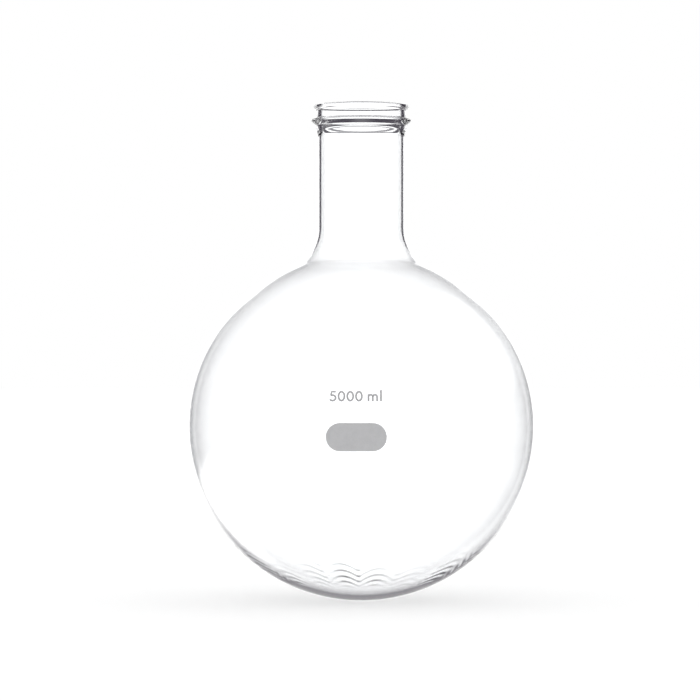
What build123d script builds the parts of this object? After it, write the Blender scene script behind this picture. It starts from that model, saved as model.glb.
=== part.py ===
from build123d import *
from math import acos, degrees, sqrt
import os

# Round-bottom flask with a ringed neck, blown in one piece from borosilicate glass.
# Millimetres. +Z runs up the neck, and the origin is the lowest point of the bowl.
# The marked side faces -Y.

# Bowl
bowl_diameter = 223.0
bowl_wall = 1.8
bottom_wall = 2.8

# Neck and shoulder
neck_diameter = 55.5
neck_wall = 2.0
shoulder_radius = 25.5
shoulder_wall = 2.0
overall_height = 316.5

# Mouth: a thicker wall that begins below the ring
mouth_wall = 3.3
mouth_height = 16.0
mouth_foot_height = 4.0
mouth_foot_radius = 6.0

# Ring bead around the mouth: a flatter top, a thin edge and a sloping underside
ring_diameter = 64.0
ring_below_top = 9.8
ring_edge = 1.2
ring_edge_radius = 0.55
ring_top_fall = 0.7
ring_under_rise = 2.6
ring_root_radius = 0.7

# Lip flared outwards and fire-polished
lip_flare = 1.5
lip_flare_height = 1.6
lip_flare_radius = 1.6
lip_edge = 1.3
lip_edge_radius = 0.55
lip_fall = 0.8
rim_width = 1.9
rim_radius = 1.0

# Enamel writing spot on the bowl
spot_length = 37.0
spot_height = 17.2
spot_thickness = 0.15
spot_across = -3.4
spot_up = 107.0

# Radii that follow from the sizes above
bowl_radius = bowl_diameter / 2
hollow_radius = bowl_radius - bowl_wall
neck_radius = neck_diameter / 2
bore_radius = neck_radius - neck_wall
mouth_radius = bore_radius + mouth_wall
ring_radius = ring_diameter / 2
ring_top = overall_height - ring_below_top
ring_bottom = ring_top - ring_edge
mouth_bottom = overall_height - mouth_height
lip_radius = mouth_radius + lip_flare
lip_top = overall_height - lip_fall
lip_bottom = lip_top - lip_edge
hollow_shoulder_radius = shoulder_radius + shoulder_wall


def shoulder_arc(ball_radius, tube_radius, bend_radius):
    """Centre of the bend that joins a ball to a tube, and the ball's angle where it begins."""
    reach = ball_radius + bend_radius
    across = tube_radius + bend_radius
    centre = Vector(across, bowl_radius + sqrt(reach**2 - across**2))
    return centre, degrees(acos(across / reach))


outer_centre, outer_angle = shoulder_arc(bowl_radius, neck_radius, shoulder_radius)
inner_centre, inner_angle = shoulder_arc(hollow_radius, bore_radius, hollow_shoulder_radius)

# Corners of the neck, mouth, ring and lip, up the outside and down the bore, with their radii
neck_corners = [
    ((neck_radius, mouth_bottom - mouth_foot_height), mouth_foot_radius),
    ((mouth_radius, mouth_bottom), mouth_foot_radius),
    ((mouth_radius, ring_bottom - ring_under_rise), ring_root_radius),
    ((ring_radius, ring_bottom), ring_edge_radius),
    ((ring_radius, ring_top), ring_edge_radius),
    ((mouth_radius, ring_top + ring_top_fall), ring_root_radius),
    ((mouth_radius, lip_bottom - lip_flare_height), lip_flare_radius),
    ((lip_radius, lip_bottom), lip_edge_radius),
    ((lip_radius, lip_top), lip_edge_radius),
    ((bore_radius + rim_width, overall_height), rim_radius),
    ((bore_radius, overall_height), rim_radius),
]
corner_points = [point for point, radius in neck_corners]
corner_radii = [radius for point, radius in neck_corners]
neck_start = (neck_radius, outer_centre.Y)
bore_end = (bore_radius, inner_centre.Y)

os.makedirs("parts", exist_ok=True)

# Glass vessel: half of its wall, turned about the axis
with BuildPart() as flask:
    with BuildSketch(Plane.XZ) as wall:
        with BuildLine() as outline:
            CenterArc((0, bowl_radius), bowl_radius, -90, 90 + outer_angle)
            CenterArc(outer_centre, shoulder_radius, 180, outer_angle)
            FilletPolyline(neck_start, *corner_points, bore_end, radius=corner_radii)
            CenterArc(inner_centre, hollow_shoulder_radius, 180, inner_angle)
            CenterArc((0, bowl_radius), hollow_radius, 0, inner_angle)
            EllipticalCenterArc((0, bowl_radius), hollow_radius, bowl_radius - bottom_wall, 270, arc_size=90)
            Line((0, bottom_wall), (0, 0))
        make_face()
    revolve(axis=Axis.Z)
flask.part.label = "flask"
export_step(flask.part, "parts/flask.step")

# Enamel spot: a round-ended patch that follows the outside of the bowl
with BuildPart() as marking_spot:
    with BuildSketch(Plane.XZ) as patch:
        with Locations((spot_across, spot_up)):
            SlotOverall(spot_length, spot_height)
    extrude(amount=bowl_radius + spot_thickness)
    with Locations((0, 0, bowl_radius)):
        Sphere(bowl_radius + spot_thickness, mode=Mode.INTERSECT)
        Sphere(bowl_radius, mode=Mode.SUBTRACT)
marking_spot.part.label = "marking_spot"
export_step(marking_spot.part, "parts/marking_spot.step")
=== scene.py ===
from math import acos, atan2, cos, degrees, hypot, pi, radians, sin, sqrt, tan

import bpy
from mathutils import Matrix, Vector


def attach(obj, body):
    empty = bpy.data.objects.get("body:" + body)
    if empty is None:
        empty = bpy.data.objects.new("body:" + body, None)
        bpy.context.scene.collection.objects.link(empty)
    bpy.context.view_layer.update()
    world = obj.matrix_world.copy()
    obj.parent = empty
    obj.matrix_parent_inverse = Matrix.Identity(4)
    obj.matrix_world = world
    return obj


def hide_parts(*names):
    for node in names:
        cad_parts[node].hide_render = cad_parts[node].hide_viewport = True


bl_info = {
    "name": "Round-bottom flask",
    "version": (1, 0, 0),
    "blender": (4, 5, 0),
    "location": "3D View > Sidebar > Flask",
    "description": "Builds the glass, the enamel marking and the studio of a round-bottom flask",
    "category": "Object",
}

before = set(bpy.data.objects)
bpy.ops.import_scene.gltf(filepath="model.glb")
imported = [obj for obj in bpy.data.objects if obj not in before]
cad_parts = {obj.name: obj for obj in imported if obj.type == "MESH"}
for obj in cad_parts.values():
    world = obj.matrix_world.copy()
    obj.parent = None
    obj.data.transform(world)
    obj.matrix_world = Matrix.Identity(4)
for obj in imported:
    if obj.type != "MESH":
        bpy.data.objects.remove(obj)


# Shader maths


class Value:
    """A number in a node tree. Arithmetic on it adds Math nodes."""

    def __init__(self, nodes, socket):
        self.nodes = nodes
        self.socket = socket

    def __add__(self, other):
        return self.nodes.math("ADD", self, other)

    def __radd__(self, other):
        return self.nodes.math("ADD", other, self)

    def __sub__(self, other):
        return self.nodes.math("SUBTRACT", self, other)

    def __rsub__(self, other):
        return self.nodes.math("SUBTRACT", other, self)

    def __mul__(self, other):
        return self.nodes.math("MULTIPLY", self, other)

    def __rmul__(self, other):
        return self.nodes.math("MULTIPLY", other, self)

    def __mod__(self, other):
        return self.nodes.math("FLOORED_MODULO", self, other)

    def __abs__(self):
        return self.nodes.math("ABSOLUTE", self)

    def most(self, other):
        """The larger of two numbers."""
        return self.nodes.math("MAXIMUM", self, other)

    def rise(self, low, high):
        """Smooth step from 0 at low to 1 at high."""
        step = {"interpolation_type": "SMOOTHSTEP"}
        node = self.nodes.node("MapRange", step, Value=self, From_Min=low, From_Max=high)
        return self.nodes.value(node, "Result")


def sockets(group):
    """A node's inputs or outputs by identifier, with _ for each space."""
    return {socket.identifier.replace(" ", "_"): socket for socket in group}


class Nodes:
    """A material's or world's node tree, emptied."""

    def __init__(self, owner):
        owner.use_nodes = True
        self.tree = owner.node_tree
        self.tree.nodes.clear()

    def put(self, slot, value):
        """Links a socket or value to an input, or sets the input to a constant."""
        if isinstance(value, Value):
            value = value.socket
        if isinstance(value, bpy.types.NodeSocket):
            self.tree.links.new(value, slot)
        else:
            slot.default_value = value

    def node(self, kind, settings=None, **inputs):
        """A node of a kind. Its settings are made first, and then its inputs, by identifier."""
        node = self.tree.nodes.new("ShaderNode" + kind)
        for name, value in (settings or {}).items():
            setattr(node, name, value)
        slots = sockets(node.inputs)
        for name, value in inputs.items():
            self.put(slots[name], value)
        return node

    def value(self, node, output=0):
        return Value(self, node.outputs[output])

    def math(self, operation, *values):
        """A Math node on numbers and values."""
        node = self.node("Math", {"operation": operation})
        for slot, value in zip(node.inputs, values):
            self.put(slot, value)
        return self.value(node)

    def mix_colour(self, share, first, second):
        """First where share is 0, and second where it is 1."""
        kind = {"data_type": "RGBA"}
        node = self.node("Mix", kind, Factor_Float=share, A_Color=first, B_Color=second)
        return sockets(node.outputs)["Result_Color"]

    def mix_shader(self, share, first, second):
        """First where share is 0, and second where it is 1."""
        return self.node("MixShader", Fac=share, Shader=first.outputs[0], Shader_001=second.outputs[0])


# Sizes and colours


def length(default, text):
    """A length in metres."""
    return bpy.props.FloatProperty(name=text, description=text, default=default, unit="LENGTH", precision=5)


def angle(default, text):
    """An angle, given in degrees and kept in radians."""
    return bpy.props.FloatProperty(name=text, description=text, default=radians(default), unit="ROTATION")


def number(default, text):
    """A number without a unit."""
    return bpy.props.FloatProperty(name=text, description=text, default=default, precision=4)


def colour(default, text):
    """A colour and its alpha."""
    look = {"subtype": "COLOR", "size": 4}
    return bpy.props.FloatVectorProperty(name=text, description=text, default=default, **look)


def grey(level):
    """An even grey, from 0 for black to 1 for white."""
    return (level, level, level, 1.0)


WHITE = grey(1.0)


class FlaskVessel(bpy.types.PropertyGroup):
    """Sizes of the glass, as in the section that the solid is turned from, and its finish."""

    bowl_radius: length(0.1115, "Outside radius of the bowl")
    bowl_wall: length(0.0018, "Wall at the middle of the bowl")
    bottom_wall: length(0.0028, "Wall at the lowest point")
    neck_radius: length(0.02775, "Outside radius of the neck")
    neck_wall: length(0.002, "Wall of the neck")
    shoulder_radius: length(0.0255, "Bend between the neck and the bowl")
    overall_height: length(0.3165, "Height from the lowest point to the rim")
    mouth_wall: length(0.0033, "Wall of the mouth")
    mouth_height: length(0.016, "Thick part of the mouth")
    mouth_foot_height: length(0.004, "Taper under the thick part")
    mouth_foot_radius: length(0.006, "Rounding of the taper")
    ring_radius: length(0.032, "Outside radius of the ring bead")
    ring_below_top: length(0.0098, "Ring's top edge below the rim")
    ring_edge: length(0.0012, "Height of the ring's edge")
    ring_edge_radius: length(0.00055, "Rounding of the ring's edge")
    ring_top_fall: length(0.0007, "Slope of the ring's top")
    ring_under_rise: length(0.0026, "Slope of the ring's underside")
    ring_root_radius: length(0.0007, "Rounding where the ring leaves the wall")
    lip_flare: length(0.0015, "Reach of the lip beyond the mouth's wall")
    lip_flare_height: length(0.0016, "Height of the flare under the lip")
    lip_flare_radius: length(0.0016, "Rounding of the flare")
    lip_edge: length(0.0013, "Height of the lip's edge")
    lip_edge_radius: length(0.00055, "Rounding of the lip's edge")
    lip_fall: length(0.0008, "Fall of the rim towards the lip")
    rim_width: length(0.0019, "Width of the flat of the rim")
    rim_radius: length(0.001, "Rounding of the rim")
    ripple: length(0.00013, "Most that the waves inside the bottom rise or fall")
    ripple_lobes: number(17.0, "Scallops around the bottom")
    ripple_spacing: angle(3.6, "Spacing of the waves, seen from the bowl's middle")
    ripple_reach: angle(48.0, "Angle from the lowest point at which the waves end")
    tint: colour((0.985, 0.992, 0.995, 1.0), "Glass colour")
    ior: number(1.474, "Refractive index of borosilicate glass")
    patches: number(40.0, "Patches of polish to a metre")
    haze: number(0.004, "Roughness of the least polished patches")
    passed_light: number(0.75, "Share of the soft light that the glass lets through to the floor")


class FlaskMarking(bpy.types.PropertyGroup):
    """Sizes and colours of the enamel."""

    text_height: length(0.0062, "Height of the digits")
    text_left: length(-0.0196, "Left end of the figure")
    text_foot: length(0.1287, "Foot of the figure above the lowest point")
    stroke_width: number(0.18, "Width of a stroke in digit heights")
    print_lift: length(0.00005, "Thickness of the print")
    print_colour: colour((0.36, 0.36, 0.37, 1.0), "Printed grey")
    spot_colour: colour((0.45, 0.45, 0.46, 1.0), "Enamel of the writing spot")


class FlaskStudio(bpy.types.PropertyGroup):
    """The backdrop, its light, the floor and the camera."""

    white: number(1.45, "Brightness of the white fields that the glass shows")
    soft: number(1.12, "Soft light from all round")
    below: angle(12.0, "White field below the line of sight")
    below_edge: angle(14.0, "Softness of its lower edge")
    dark: colour((0.065, 0.058, 0.075, 1.0), "Darkness around the white fields")
    dark_above: angle(-6.0, "Elevation above which it is all dark")
    under: colour((0.3, 0.29, 0.31, 1.0), "Grey below the white fields")
    under_below: angle(-16.0, "Elevation below which it is all grey")
    floor_reach: length(12.0, "Radius of the floor")
    floor_gap: length(0.0003, "Floor below the lowest point")
    floor_dark: colour((0.93, 0.93, 0.93, 1.0), "Darker shade of the floor")
    floor_light: colour((0.95, 0.95, 0.95, 1.0), "Lighter shade of the floor")
    floor_patches: number(3.0, "Patches of shade to a metre of floor")
    pale: number(0.2, "Share of plain white that the floor shows the camera")
    camera_across: length(-0.0072, "Camera to the right of the axis")
    camera_away: length(2.19, "Camera's distance from the axis")
    camera_up: length(0.1598, "Camera above the floor")
    lens: number(176.55, "Focal length on a 36 mm sensor")


# White fields around the glass, each behind it as seen from one side, in degrees:
# angle from +Y towards +X, elevation, reach above, half width and softness
VIEWS = (
    (0.0, 0.0, 25.5, 24.0, 4.0),
    (0.0, -3.0, 25.5, 24.0, 4.0),
    (-90.0, -3.0, 24.0, 22.0, 6.0),
    (-45.0, -25.0, 14.0, 19.0, 5.0),
    (135.0, -15.0, 12.0, 22.0, 6.0),
)

# Points around the axis and around the floor
TURNS = 288
FLOOR_SIDES = 96

# Degrees from one point to the next on the bowl, the shoulder, small roundings, the waves and the strokes
BOWL_STEP = 2.0
BEND_STEP = 3.0
CORNER_STEP = 12.0
WAVE_STEP = 0.5
STROKE_STEP = 7.5

# Scallops of the waves: place of the first, in radians, and depth, in spacings of the waves
SCALLOP_TURN = 2.25
SCALLOP_DEPTH = 1.3

# Uneven width of the scallops and uneven height of their rows, each with its cycles around the bottom,
# and the place where the rows' cycles start, in radians
WIDTH_UNEVEN = 0.35
WIDTH_CYCLES = 3
ROW_UNEVEN = 0.4
ROW_CYCLES = 2
ROW_TURN = 0.5

# The waves begin at this share of their reach, and fade in and out by these slopes
FIRST_SHARE = 0.52
FADE_IN = 7.0
FADE_OUT = 6.0

# The waves are lower at the sides than in front and behind, and fall and rise in slanting patches
SIDE_SHARE = 0.3
SIDE_POWER = 4
PATCH_FALL = 0.35
PATCH_CYCLES = 5
PATCH_TURN = 1.3
PATCH_SLANT = 4.0

# Noise between these values takes a finish from its first shade to its second
GLASS_BLEND = (0.35, 0.75)
ENAMEL_BLEND = (0.3, 0.7)

# Enamel: grains to a metre, share of the fine ones, unevenness of the shades, least roughness and its range
FINE_GRAINS = 2600.0
BROAD_GRAINS = 260.0
FINE_SHARE = 0.6
SPOT_GRAIN = 0.06
PRINT_GRAIN = 0.05
ENAMEL_ROUGHNESS = 0.55
ROUGHNESS_RANGE = 0.2


# Shapes


def arc(centre, radius, start, sweep, step):
    """Points of an arc, by angles in degrees, both ends included."""
    count = max(2, round(abs(sweep) / step))
    turns = [radians(start + sweep * i / count) for i in range(count + 1)]
    return [(centre[0] + radius * cos(t), centre[1] + radius * sin(t)) for t in turns]


def rounded(points, radii):
    """A bent line through points, with its inner corners rounded."""
    path = [points[0]]
    for before, corner, after, radius in zip(points, points[1:], points[2:], radii):
        a, b, c = Vector(before), Vector(corner), Vector(after)
        u, w = (b - a).normalized(), (c - b).normalized()
        turn = acos(max(-1.0, min(1.0, u.dot(w))))
        side = 1.0 if u.x * w.y - u.y * w.x > 0 else -1.0
        start = b - u * radius * tan(turn / 2)
        centre = start + Vector((-u.y, u.x)) * side * radius
        first = degrees(atan2(start.y - centre.y, start.x - centre.x))
        path += arc(centre, radius, first, side * degrees(turn), CORNER_STEP)
    return path + [points[-1]]


def shoulder(ball, tube, bend, middle):
    """Centre of the bend that joins a ball to a tube, and the ball's angle where it begins."""
    reach = ball + bend
    across = tube + bend
    return (across, middle + sqrt(reach**2 - across**2)), degrees(acos(across / reach))


def mouth_corners(s):
    """Corners of the mouth, ring and lip with their radii, up the outside and over the rim."""
    bore = s.neck_radius - s.neck_wall
    mouth = bore + s.mouth_wall
    mouth_bottom = s.overall_height - s.mouth_height
    ring_top = s.overall_height - s.ring_below_top
    ring_bottom = ring_top - s.ring_edge
    lip = mouth + s.lip_flare
    lip_top = s.overall_height - s.lip_fall
    lip_bottom = lip_top - s.lip_edge
    return [
        ((s.neck_radius, mouth_bottom - s.mouth_foot_height), s.mouth_foot_radius),
        ((mouth, mouth_bottom), s.mouth_foot_radius),
        ((mouth, ring_bottom - s.ring_under_rise), s.ring_root_radius),
        ((s.ring_radius, ring_bottom), s.ring_edge_radius),
        ((s.ring_radius, ring_top), s.ring_edge_radius),
        ((mouth, ring_top + s.ring_top_fall), s.ring_root_radius),
        ((mouth, lip_bottom - s.lip_flare_height), s.lip_flare_radius),
        ((lip, lip_bottom), s.lip_edge_radius),
        ((lip, lip_top), s.lip_edge_radius),
        ((bore + s.rim_width, s.overall_height), s.rim_radius),
        ((bore, s.overall_height), s.rim_radius),
    ]


def vessel_outline(s):
    """Section of the wall: up the outside, over the lip and down the inside, in metres."""
    middle = (0.0, s.bowl_radius)
    hollow = s.bowl_radius - s.bowl_wall
    bore = s.neck_radius - s.neck_wall
    inner_bend = s.shoulder_radius + s.neck_wall
    outer, outer_angle = shoulder(s.bowl_radius, s.neck_radius, s.shoulder_radius, s.bowl_radius)
    inner, inner_angle = shoulder(hollow, bore, inner_bend, s.bowl_radius)
    corners = mouth_corners(s)
    neck = [(s.neck_radius, outer[1])] + [point for point, radius in corners] + [(bore, inner[1])]

    outline = arc(middle, s.bowl_radius, -90.0, 90.0 + outer_angle, BOWL_STEP)
    outline += arc(outer, s.shoulder_radius, 180.0 + outer_angle, -outer_angle, BEND_STEP)[1:]
    outline += rounded(neck, [radius for point, radius in corners])[1:]
    outline += arc(inner, inner_bend, 180.0, inner_angle, BEND_STEP)[1:]
    outline += arc(middle, hollow, inner_angle, -inner_angle, BOWL_STEP)[1:]

    # The lower half inside is half an ellipse, with its points closer together where the waves are
    reach = degrees(s.ripple_reach)
    lower = arc(middle, hollow, 0.0, reach - 90.0, BOWL_STEP)[1:]
    lower += arc(middle, hollow, reach - 90.0, -reach, WAVE_STEP)[1:]
    depth = (s.bowl_radius - s.bottom_wall) / hollow
    return outline + [(r, s.bowl_radius + (z - s.bowl_radius) * depth) for r, z in lower]


def wave(s, polar, around):
    """Height of the waves at an angle from the lowest point and an angle around the axis."""
    uneven = WIDTH_UNEVEN * sin(WIDTH_CYCLES * around)
    scallop = abs(cos(0.5 * s.ripple_lobes * around + SCALLOP_TURN + uneven))
    row = polar / s.ripple_spacing - SCALLOP_DEPTH * scallop
    row += ROW_UNEVEN * sin(ROW_CYCLES * around + ROW_TURN)
    share = polar / s.ripple_reach
    fade = max(0.0, min(1.0, FADE_OUT * (1 - share), FADE_IN * (share - FIRST_SHARE)))
    sides = SIDE_SHARE + (1 - SIDE_SHARE) * sin(around) ** SIDE_POWER
    slant = PATCH_CYCLES * around + PATCH_TURN + PATCH_SLANT * polar
    swell = sides * (1 - PATCH_FALL + PATCH_FALL * sin(slant))
    return s.ripple * sin(2 * pi * row) * fade * swell


def vessel_point(s, r, z, around):
    """A point of the section turned about the axis, with the waves on the inside of the bottom."""
    away = hypot(r, z - s.bowl_radius)
    polar = atan2(r, s.bowl_radius - z)
    if away < s.bowl_radius - s.bowl_wall / 2 and polar < s.ripple_reach:
        grown = 1 + wave(s, polar, around) / away
        r, z = r * grown, s.bowl_radius + (z - s.bowl_radius) * grown
    return (r * cos(around), r * sin(around), z)


def vessel_mesh(s):
    """The closed wall, turned from its section, which starts and ends on the axis."""
    outline = vessel_outline(s)
    rings = outline[1:-1]
    vertices = [(0.0, 0.0, outline[0][1])]
    for r, z in rings:
        vertices += [vessel_point(s, r, z, 2 * pi * i / TURNS) for i in range(TURNS)]
    vertices.append((0.0, 0.0, outline[-1][1]))
    faces = []
    for i in range(TURNS):
        j = (i + 1) % TURNS
        faces.append((0, 1 + j, 1 + i))
        for k in range(len(rings) - 1):
            low, high = 1 + k * TURNS, 1 + (k + 1) * TURNS
            faces.append((low + i, low + j, high + j, high + i))
        last = 1 + (len(rings) - 1) * TURNS
        faces.append((last + i, last + j, len(vertices) - 1))
    mesh = bpy.data.meshes.new("glass_vessel")
    mesh.from_pydata(vertices, [], faces)
    mesh.polygons.foreach_set("use_smooth", [True] * len(mesh.polygons))
    mesh.update()
    return mesh


def show(name, mesh, material):
    """Puts a new object with a material into the scene."""
    piece = bpy.data.objects.new(name, mesh)
    bpy.context.scene.collection.objects.link(piece)
    piece.data.materials.append(material)
    return piece


def oval(centre, across, up, start, sweep):
    """Points of an upright ellipse, by angles in degrees."""
    circle = arc((0.0, 0.0), 1.0, start, sweep, STROKE_STEP)
    return [(centre[0] + u * across, centre[1] + v * up) for u, v in circle]


# Strokes of each glyph, in digit heights from its left end and its foot. The nought ends where it starts
NOUGHT = oval((0.355, 0.5), 0.288, 0.433, 0.0, 360.0)
NOUGHT[-1] = NOUGHT[0]
GLYPHS = {
    "5": [[(0.6, 0.932), (0.2, 0.932), (0.13, 0.56)], oval((0.29, 0.335), 0.3, 0.268, 126.0, -276.0)],
    "0": [NOUGHT],
    "m": [
        [(0.068, 0.0), (0.068, 0.7)],
        oval((0.279, 0.44), 0.211, 0.193, 180.0, -180.0) + [(0.49, 0.0)],
        oval((0.701, 0.44), 0.211, 0.193, 180.0, -180.0) + [(0.912, 0.0)],
    ],
    "l": [[(0.068, 0.0), (0.068, 1.1)]],
}

# Place of each glyph along the line, in digit heights
FIGURE = ((0.0, "5"), (0.81, "0"), (1.67, "0"), (2.52, "0"), (3.74, "m"), (4.96, "l"))


# Materials


def glass_material(s):
    """Clear glass, faintly uneven in polish. Part of the soft light passes straight through it."""
    material = bpy.data.materials.new("Borosilicate glass")
    nodes = Nodes(material)
    where = nodes.node("TexCoord").outputs["Object"]
    noise = nodes.node("TexNoise", Vector=where, Scale=s.patches, Detail=2.0)
    shade = nodes.value(noise).rise(*GLASS_BLEND)
    tint = tuple(s.tint)
    paler = tuple((1 + part) / 2 for part in tint)
    surface = nodes.node(
        "BsdfPrincipled",
        Base_Color=nodes.mix_colour(shade, tint, paler),
        Roughness=shade * s.haze,
        IOR=s.ior,
        Transmission_Weight=1.0,
    )
    path = nodes.node("LightPath")
    aside = nodes.value(path, "Is Shadow Ray").most(nodes.value(path, "Is Diffuse Ray"))
    both = nodes.mix_shader(aside * s.passed_light, surface, nodes.node("BsdfTransparent"))
    nodes.node("OutputMaterial", Surface=both.outputs[0])
    return material


def enamel_material(name, tint, grain):
    """Matt fired enamel, whose shade strays by grain to each side of its tint."""
    material = bpy.data.materials.new(name)
    nodes = Nodes(material)
    where = nodes.node("TexCoord").outputs["Object"]
    fine = nodes.value(nodes.node("TexNoise", Vector=where, Scale=FINE_GRAINS, Detail=3.0))
    broad = nodes.value(nodes.node("TexNoise", Vector=where, Scale=BROAD_GRAINS, Detail=2.0))
    shade = fine * FINE_SHARE + broad * (1 - FINE_SHARE)
    darker = tuple(part * (1 - grain) for part in tint[:3]) + (1.0,)
    lighter = tuple(min(1.0, part * (1 + grain)) for part in tint[:3]) + (1.0,)
    surface = nodes.node(
        "BsdfPrincipled",
        Base_Color=nodes.mix_colour(shade.rise(*ENAMEL_BLEND), darker, lighter),
        Roughness=shade * ROUGHNESS_RANGE + ENAMEL_ROUGHNESS,
    )
    nodes.node("OutputMaterial", Surface=surface.outputs[0])
    return material


def floor_material(studio):
    """Matt pale floor. The camera sees it a little paler than it is lit, and the glass looks through it."""
    material = bpy.data.materials.new("Floor")
    nodes = Nodes(material)
    where = nodes.node("TexCoord").outputs["Object"]
    noise = nodes.node("TexNoise", Vector=where, Scale=studio.floor_patches)
    base = nodes.mix_colour(nodes.value(noise), tuple(studio.floor_dark), tuple(studio.floor_light))
    matt = nodes.node("BsdfDiffuse", Color=base)
    paper = nodes.node("Emission", Color=WHITE)
    path = nodes.node("LightPath")
    ground = nodes.mix_shader(nodes.value(path, "Is Camera Ray") * studio.pale, matt, paper)
    through = nodes.value(path, "Is Transmission Ray").most(nodes.value(path, "Is Glossy Ray"))
    both = nodes.mix_shader(through, ground, nodes.node("BsdfTransparent"))
    nodes.node("OutputMaterial", Surface=both.outputs[0])
    return material


# Operators


class FLASK_OT_glass(bpy.types.Operator):
    """Turn the glass vessel from its section and give it the glass material"""

    bl_idname = "flask.glass"
    bl_label = "Glass vessel"

    def execute(self, context):
        s = context.scene.flask_vessel
        piece = show("glass_vessel", vessel_mesh(s), glass_material(s))
        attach(piece, "root")
        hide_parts("flask")
        return {"FINISHED"}


class FLASK_OT_spot(bpy.types.Operator):
    """Finish the writing spot in pale granular enamel"""

    bl_idname = "flask.spot"
    bl_label = "Writing spot"

    def execute(self, context):
        m = context.scene.flask_marking
        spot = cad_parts["marking_spot"]
        spot.data.materials.clear()
        spot.data.materials.append(enamel_material("Spot enamel", tuple(m.spot_colour), SPOT_GRAIN))
        return {"FINISHED"}


class FLASK_OT_capacity(bpy.types.Operator):
    """Print the capacity figure on the bowl above the spot"""

    bl_idname = "flask.capacity"
    bl_label = "Capacity figure"

    def execute(self, context):
        m = context.scene.flask_marking
        radius = context.scene.flask_vessel.bowl_radius
        vertices, faces = [], []
        for place, glyph in FIGURE:
            for stroke in GLYPHS[glyph]:
                self.stroke([(place + u, v) for u, v in stroke], m, radius, vertices, faces)
        mesh = bpy.data.meshes.new("capacity_figure")
        mesh.from_pydata(vertices, [], faces)
        enamel = enamel_material("Printed enamel", tuple(m.print_colour), PRINT_GRAIN)
        piece = show("capacity_figure", mesh, enamel)
        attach(piece, "root")
        return {"FINISHED"}

    def stroke(self, line, m, radius, vertices, faces):
        """Add one stroke of even width as a thin closed band on the bowl."""
        closed = line[0] == line[-1]
        line = line[:-1] if closed else line
        band = ((-0.5, 0.0), (-0.5, m.print_lift), (0.5, m.print_lift), (0.5, 0.0))
        corners = len(band)
        first = len(vertices)
        for i, point in enumerate(line):
            before = line[i - 1] if closed or i else point
            after = line[(i + 1) % len(line)] if closed or i + 1 < len(line) else point
            along = Vector((after[0] - before[0], after[1] - before[1])).normalized()
            for side, lift in band:
                u = point[0] - along.y * side * m.stroke_width
                v = point[1] + along.x * side * m.stroke_width
                x = m.text_left + u * m.text_height
                z = m.text_foot + v * m.text_height
                y = -sqrt((radius + lift) ** 2 - x**2 - (z - radius) ** 2)
                vertices.append((x, y, z))
        for i in range(len(line) if closed else len(line) - 1):
            low, high = first + corners * i, first + corners * ((i + 1) % len(line))
            for k in range(corners):
                beside = (k + 1) % corners
                faces.append((low + k, low + beside, high + beside, high + k))
        if not closed:
            last = first + corners * (len(line) - 1)
            faces.append((first, first + 3, first + 2, first + 1))
            faces.append((last, last + 1, last + 2, last + 3))


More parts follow.
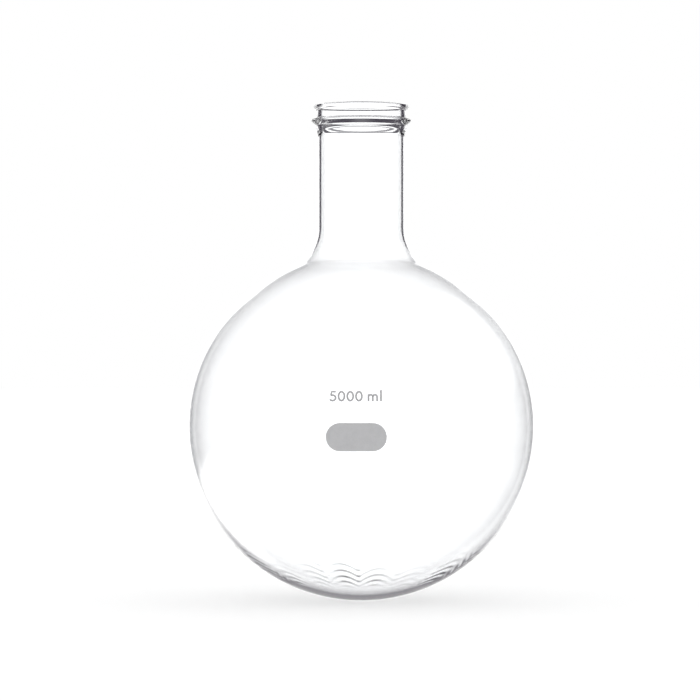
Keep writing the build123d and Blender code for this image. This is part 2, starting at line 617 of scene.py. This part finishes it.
class FLASK_OT_stage(bpy.types.Operator):
    """Set the floor, the light and the camera"""

    bl_idname = "flask.stage"
    bl_label = "Stage"

    def execute(self, context):
        studio = context.scene.flask_studio
        self.floor(studio)
        self.world(context, studio)
        self.camera(context, studio)
        context.scene.view_settings.view_transform = "Standard"
        return {"FINISHED"}

    def floor(self, studio):
        """A wide round floor, just clear of the lowest point of the glass."""
        reach, down = studio.floor_reach, -studio.floor_gap
        turns = [2 * pi * i / FLOOR_SIDES for i in range(FLOOR_SIDES)]
        ring = [(reach * cos(t), reach * sin(t), down) for t in turns]
        mesh = bpy.data.meshes.new("floor")
        mesh.from_pydata(ring, [], [tuple(range(FLOOR_SIDES))])
        show("floor", mesh, floor_material(studio))

    def world(self, context, studio):
        """White to the camera, soft light to matt surfaces, and white fields in the dark to the glass."""
        world = bpy.data.worlds.new("Studio")
        context.scene.world = world
        nodes = Nodes(world)
        parts = nodes.node("SeparateXYZ", Vector=nodes.node("TexCoord").outputs["Generated"])
        x, y, z = (nodes.value(parts, axis) for axis in "XYZ")
        turn = nodes.math("ARCTAN2", x, y)
        elevation = nodes.math("ARCTAN2", z, nodes.math("SQRT", x * x + y * y))
        fields = [self.field(turn, elevation, studio, view) for view in VIEWS]
        field = fields[0]
        for other in fields[1:]:
            field = field.most(other)
        path = nodes.node("LightPath")
        glass = nodes.value(path, "Is Glossy Ray").most(nodes.value(path, "Is Transmission Ray"))
        glass = glass * nodes.math("LESS_THAN", nodes.value(path, "Diffuse Depth"), 1.0)
        level = elevation.rise(studio.under_below, studio.dark_above)
        around = nodes.mix_colour(level, tuple(studio.under), tuple(studio.dark))
        shown = nodes.mix_colour(field, around, grey(studio.white))
        lit = nodes.mix_colour(glass, grey(studio.soft), shown)
        everything = nodes.mix_colour(nodes.value(path, "Is Camera Ray"), lit, WHITE)
        light = nodes.node("Background", Color=everything)
        nodes.node("OutputWorld", Surface=light.outputs[0])

    def field(self, turn, elevation, studio, view):
        """1 inside one white field and 0 outside it, with soft edges."""
        towards, tilt, above, half, edge = (radians(part) for part in view)
        below, below_edge = studio.below, studio.below_edge
        # Angle from the middle of the field, the short way round
        off = abs((turn - towards + 3 * pi) % (2 * pi) - pi)
        lift = elevation - tilt
        inside = off.rise(half + edge / 2, half - edge / 2)
        inside = inside * lift.rise(above + edge / 2, above - edge / 2)
        return inside * lift.rise(-below - below_edge / 2, -below + below_edge / 2)

    def camera(self, context, studio):
        camera = bpy.data.cameras.new("Camera")
        camera.sensor_width = 36.0
        camera.lens = studio.lens
        camera.clip_end = 60.0
        holder = bpy.data.objects.new("Camera", camera)
        holder.location = (studio.camera_across, -studio.camera_away, studio.camera_up)
        holder.rotation_euler = (pi / 2, 0.0, 0.0)
        context.scene.collection.objects.link(holder)
        context.scene.camera = holder


class FLASK_PT_panel(bpy.types.Panel):
    """Buttons of the flask"""

    bl_idname = "FLASK_PT_panel"
    bl_label = "Flask"
    bl_space_type = "VIEW_3D"
    bl_region_type = "UI"
    bl_category = "Flask"

    def draw(self, context):
        for operator in OPERATORS:
            self.layout.operator(operator.bl_idname)


GROUPS = {"flask_vessel": FlaskVessel, "flask_marking": FlaskMarking, "flask_studio": FlaskStudio}
OPERATORS = (FLASK_OT_glass, FLASK_OT_spot, FLASK_OT_capacity, FLASK_OT_stage)


def register():
    for kind in (*GROUPS.values(), *OPERATORS, FLASK_PT_panel):
        bpy.utils.register_class(kind)
    for name, kind in GROUPS.items():
        setattr(bpy.types.Scene, name, bpy.props.PointerProperty(type=kind))


def unregister():
    for name in GROUPS:
        delattr(bpy.types.Scene, name)
    for kind in (FLASK_PT_panel, *OPERATORS, *GROUPS.values()):
        bpy.utils.unregister_class(kind)


def main():
    register()
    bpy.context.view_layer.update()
    bpy.ops.flask.glass()
    bpy.ops.flask.spot()
    bpy.ops.flask.capacity()
    bpy.ops.flask.stage()


if __name__ == "__main__":
    main()
